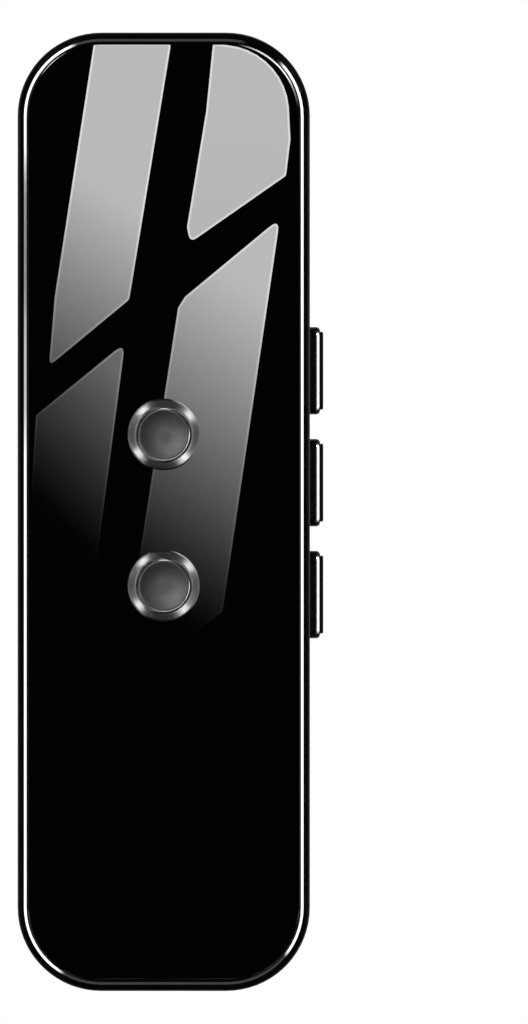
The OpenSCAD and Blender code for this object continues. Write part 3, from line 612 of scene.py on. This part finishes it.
def build_floor():
    """A pale floor that keeps the object's soft shadow near it and turns into the white backdrop further out."""
    (x0, y0), (x1, y1) = FLOOR_LOW, FLOOR_HIGH
    corners = [(x, y, FLOOR_LEVEL) for x, y in ((x0, y0), (x1, y0), (x1, y1), (x0, y1))]
    floor = mesh_object("floor", corners, [(0, 1, 2, 3)])
    made, tree, shader = material("pale_floor")
    made.cycles.emission_sampling = "NONE"
    floor.data.materials.append(made)
    spot = place(tree)
    far = spread(tree, length_of(tree, spot), *PAPER_FADE, smooth=True)
    ray = add(tree, "ShaderNodeLightPath").outputs
    seen = maths(tree, "MAXIMUM", ray["Is Camera Ray"], ray["Is Glossy Ray"])
    seen = maths(tree, "MAXIMUM", seen, ray["Is Transmission Ray"])
    paper = noise(tree, spot, 0.5, 3)
    feed(
        tree,
        shader,
        Base_Color=tint(tree, paper, (0.78, 0.78, 0.78), (0.82, 0.82, 0.82)),
        Roughness=0.9,
        Specular_IOR_Level=0.1,
        Emission_Color=WHITE,
        Emission_Strength=product(tree, far, seen),
        Normal=bump(tree, paper, 0.05),
    )
    # Mirrored in the object, the floor fades out close to it and in front of it.
    axes = axes_of(tree, spot)
    beside = spread(tree, maths(tree, "ABSOLUTE", axes["X"]), *MIRROR_BESIDE, 0.0, MIRROR_SHARE, smooth=True)
    beside = product(tree, beside, spread(tree, axes["Y"], *MIRROR_AHEAD, smooth=True))
    shown = maths(tree, "MAXIMUM", beside, spread(tree, axes["Y"], *MIRROR_BEHIND, smooth=True))
    gone = product(tree, ray["Is Glossy Ray"], maths(tree, "SUBTRACT", 1.0, shown))
    both = add(tree, "ShaderNodeMixShader", {0: gone, 1: shader.outputs[0], 2: clear(tree)})
    tree.links.new(both.outputs[0], tree.nodes["Material Output"].inputs[0])


build_floor()

# ----------------------------------------------------------------------- lamps

LAMP_DISTANCE = 1.6


def shine_on(source, only=(), without=()):
    """Keeps a source's light on some of the pieces, or off some of them."""
    group = bpy.data.collections.new("lit_by_" + source.name)
    for k, node in enumerate([*only, *without]):
        group.objects.link(frame["nodes"][node])
        if node in without:
            group.collection_objects[k].light_linking.link_state = "EXCLUDE"
    source.light_linking.receiver_collection = group


def around_front(turn, tilt):
    """The direction tilted off the front axis by tilt degrees, towards turn degrees round it: 0 is right and 90 is
    up. Over 90 degrees of tilt it points behind the front."""
    a, t = math.radians(turn), math.radians(tilt)
    return Vector((math.cos(a) * math.sin(t), -math.cos(t), math.sin(a) * math.sin(t)))


def lamp(name, turn, tilt, side, radiance, distance=LAMP_DISTANCE, only=(), without=()):
    """A square soft lamp that faces the object's middle."""
    data = bpy.data.lights.new(name, "AREA")
    data.shape, data.size = "SQUARE", side
    data.energy = radiance * math.pi * side * side
    made = bpy.data.objects.new(name, data)
    bpy.context.scene.collection.objects.link(made)
    towards = around_front(turn, tilt)
    made.location = MIDDLE + towards * distance
    made.rotation_euler = towards.to_track_quat("Z", "Y").to_euler()
    made.visible_camera = False
    if only or without:
        shine_on(made, only, without)


caps = ["upper_button_cap", "lower_button_cap"]
lamp("lamp_upper_left", 131, 45, 0.38, 28, without=["mid_frame", *caps])
lamp("lamp_upper_right", 38, 45, 0.38, 25, without=["mid_frame", *caps])
lamp("lamp_frame_left", 131, 45, 0.38, 6, only=["mid_frame"])
lamp("lamp_frame_right", 38, 45, 0.38, 6, only=["mid_frame"])
lamp("lamp_caps", 135, 14, 0.3, 33, only=caps)
lamp("lamp_across_back", 130, 108, 0.1, 45, 0.2, only=["back_cover"])
lamp("lamp_beside_right", 5, 90, 0.07, 9, 0.4, only=["mid_frame"])
lamp("lamp_beside_left", 175, 90, 0.07, 9, 0.4, only=["mid_frame"])

# ------------------------------------------------------------- reflector cards

# The strips that the glass mirrors. Each card has the mirrored strip's own shape, in millimetres of the front, and
# stands far in front of the glass. A second set stands lower, for a camera that looks down a little.
CARD_Y = -2.75
LOW_SET_TILT = math.radians(3)
GLASS_MIRRORS = 0.04
DISPLAY_POWER = 2.2
RIM = 0.28


def only_mirrored(made):
    """Seen in reflections and nowhere else."""
    made.visible_camera = made.visible_diffuse = made.visible_transmission = False
    made.visible_shadow = made.visible_volume_scatter = False


def card_light(name, level, top, end, curve, lean):
    """Light that fades down a card from one height to another. The fade leans by so many millimetres of height for
    one across."""
    made, tree, surface = bare_material(name)
    axes = axes_of(tree, place(tree))
    height = maths(tree, "ADD", axes["Z"], product(tree, axes["X"], lean))
    drop = maths(tree, "POWER", spread(tree, height, top, end), curve)
    tone = product(tree, maths(tree, "SUBTRACT", 1.0, drop), level)
    strength = maths(tree, "DIVIDE", maths(tree, "POWER", tone, DISPLAY_POWER), GLASS_MIRRORS)
    tree.links.new(glow(tree, strength), surface)
    return made


def rounded(corners, radii, steps=5):
    """An outline with its corners rounded."""
    points = []
    for i, (corner, radius) in enumerate(zip(corners, radii)):
        here = Vector(corner)
        if not radius:
            points.append(here)
            continue
        before = (Vector(corners[i - 1]) - here).normalized()
        after = (Vector(corners[(i + 1) % len(corners)]) - here).normalized()
        back = radius / math.tan(before.angle(after) / 2)
        start, finish = here + before * back, here + after * back
        for k in range(steps + 1):
            t = k / steps
            points.append(start * (1 - t) ** 2 + here * 2 * t * (1 - t) + finish * t * t)
    return points


def left_of(direction):
    return Vector((-direction.y, direction.x))


def inset(points, width):
    """The outline moved inwards by width. The corners run counterclockwise."""
    moved = []
    for i, here in enumerate(points):
        into = (here - points[i - 1]).normalized()
        out = (points[(i + 1) % len(points)] - here).normalized()
        side = (left_of(into) + left_of(out)).normalized()
        moved.append(here + side * width / max(0.5, side.dot(left_of(into))))
    return moved


def arc(centre, radius, start, end, count):
    """Points on an arc, from one angle to another."""
    angles = [math.radians(start + (end - start) * k / count) for k in range(count + 1)]
    return [(centre[0] + radius * math.cos(a), centre[1] + radius * math.sin(a)) for a in angles]


def card(name, corners, radii, levels, fade):
    """One strip's card, for both heights of the camera. The levels are its fill's and its rim's."""
    outer = rounded(corners, radii)
    count = len(outer)
    points = [(p.x * MM, CARD_Y, p.y * MM) for p in outer + inset(outer, RIM)]
    faces = [(i, (i + 1) % count, count + (i + 1) % count, count + i) for i in range(count)]
    faces.append(tuple(range(count, 2 * count)))
    fill_level, rim_level = levels
    rim = card_light(name + "_rim", rim_level, *fade)
    fill = card_light(name + "_fill", fill_level, *fade)
    for height_name, height in (("", 0), ("_low", CARD_Y * math.tan(LOW_SET_TILT))):
        made = mesh_object("card_" + name + height_name, points, faces)
        made.location.z = height
        made.data.materials.append(rim)
        made.data.materials.append(fill)
        made.data.polygons[count].material_index = 1
        only_mirrored(made)


# Each fade is the height where it starts and where it ends, its curve, and its lean.
card(
    "upper_left",
    [(-16.76, 91.3), (-5.05, 101.0), (1.06, 138.4), (-10.2, 138.4), (-15.9, 101.5)],
    [0.5, 1.2, 0.5, 0.5, 0],
    levels=(0.72, 0.86),
    fade=(111.5, 58.5, 1.1, 0.65),
)
card(
    "lower_left",
    [(-20.0, 62.0), (-9.9, 62.0), (-5.66, 94.7), (-18.66, 84.1)],
    [0, 0.5, 0.8, 0.8],
    levels=(0.4, 0.5),
    fade=(84.2, 51.3, 1.0, 0.95),
)
upper_right_bow = arc((8.4, 128.3), 9.9, 5, 85, 9)
card(
    "upper_right",
    [(3.4, 111.6), (3.83, 109.3), (17.86, 119.1), (18.5, 124.4), *upper_right_bow, (7.2, 138.4), (6.2, 128.5)],
    [0.6, 0.8, 0.8, 0, *[0] * len(upper_right_bow), 0.4, 0],
    levels=(0.72, 0.86),
    fade=(139.0, 40.0, 3.0, 0.0),
)
card(
    "lower_right",
    [(-3.6, 62.95), (-4.4, 46.1), (8.58, 55.4), (16.98, 112.9), (3.1, 101.4), (2.1, 99.8)],
    [0, 0, 0.5, 0.8, 0.6, 0.4],
    levels=(0.72, 0.84),
    fade=(112.0, 54.0, 1.15, 0.7),
)

# A grey flag at the left, which darkens the trim's upper left run in two steps.
FLAG_SPOT = Vector((-0.31, -0.091))
FLAG_ALONG = Vector((-0.28, 0.96))
FLAG_WIDTH = 0.12
FLAG_HEIGHTS = (78, 123)
PANEL_LIGHT = 1.3


def build_flag():
    reach = FLAG_ALONG.normalized() * FLAG_WIDTH / 2
    ends = [FLAG_SPOT - reach, FLAG_SPOT + reach]
    points = [(end.x, end.y, z * MM) for z in FLAG_HEIGHTS for end in ends]
    flag = mesh_object("grey_flag", points, [(0, 1, 3, 2)])
    made, tree, surface = bare_material("grey_flag")
    made.cycles.emission_sampling = "NONE"
    height = axes_of(tree, place(tree))["Z"]
    low_step = spread(tree, height, 78, 84, PANEL_LIGHT, 0.6, smooth=True)
    high_step = spread(tree, height, 97, 101, 0.0, 0.33, smooth=True)
    top_end = spread(tree, height, 119, 123, 0.0, PANEL_LIGHT - 0.27, smooth=True)
    tone = maths(tree, "ADD", maths(tree, "SUBTRACT", low_step, high_step), top_end)
    tree.links.new(glow(tree, tone), surface)
    flag.data.materials.append(made)
    only_mirrored(flag)


build_flag()

# Curved panels far off that only some pieces mirror: the bright strips, the glass's polished corner, the caps'
# polished edge and the keys' metal flanks.
PANEL_DISTANCE = 3.0
PANEL_STEPS = 36


def panel(name, turns, tilts, strength, soft, receivers):
    """A piece of a sphere round the object, from one turn and tilt to another. Its light rises over the first
    degrees of turn and falls over the last, as many as soft says for each."""
    points, levels = [], []
    for tilt in tilts:
        for k in range(PANEL_STEPS + 1):
            t = k / PANEL_STEPS
            turn = turns[0] * (1 - t) + turns[1] * t
            points.append(MIDDLE + around_front(turn, tilt) * PANEL_DISTANCE)
            part = min(1.0, (turn - turns[0]) / soft[0], (turns[1] - turn) / soft[1])
            levels.append(strength * part * part * (3 - 2 * part))
    row = PANEL_STEPS + 1
    faces = [(k, k + 1, row + k + 1, row + k) for k in range(PANEL_STEPS)]
    made = mesh_object("panel_" + name, points, faces)
    made.data.attributes.new("glow", "FLOAT", "POINT").data.foreach_set("value", levels)
    light, tree, surface = bare_material("panel_" + name)
    level = add(tree, "ShaderNodeAttribute", attribute_name="glow").outputs["Fac"]
    both = add(tree, "ShaderNodeAddShader", {0: glow(tree, level), 1: clear(tree)})
    tree.links.new(both.outputs[0], surface)
    made.data.materials.append(light)
    only_mirrored(made)
    shine_on(made, receivers)


keys = ["volume_up_key", "volume_down_key", "power_key"]
bright = ["front_trim", "rear_trim", "upper_button_bezel", "lower_button_bezel"]
panel("right", (-41, 46), (52, 97), PANEL_LIGHT, (6, 6), bright + keys)
panel("left", (109, 241), (52, 97), PANEL_LIGHT, (6, 6), bright)
panel("corner", (9, 81), (8, 110), 21.0, (38, 22), ["front_glass"])
panel("crescent", (-128, 16), (58, 95), 4.2, (20, 16), caps)
panel("crescent_tip", (-42, 14), (58, 95), 7.0, (24, 24), caps)
panel("dash", (74, 102), (58, 95), 10.0, (10, 8), caps)
panel("keys", (-35, 35), (24, 52), PANEL_LIGHT, (6, 6), keys)

# ---------------------------------------------------------------------- camera

VIEW_HEIGHT = 149.576 * MM
VIEW_CENTRE = (14.643 * MM, 69.97 * MM)
CAMERA_Y = -2.0
CAMERA_RANGE = (0.01, 10)


def build_camera():
    """A level view of the front, square on, without perspective."""
    data = bpy.data.cameras.new("camera")
    data.type = "ORTHO"
    data.ortho_scale = VIEW_HEIGHT
    data.clip_start, data.clip_end = CAMERA_RANGE
    made = bpy.data.objects.new("camera", data)
    bpy.context.scene.collection.objects.link(made)
    made.location = (VIEW_CENTRE[0], CAMERA_Y, VIEW_CENTRE[1])
    made.rotation_euler = (math.radians(90), 0, 0)
    bpy.context.scene.camera = made


build_camera()
bpy.context.scene.view_settings.view_transform = "Standard"
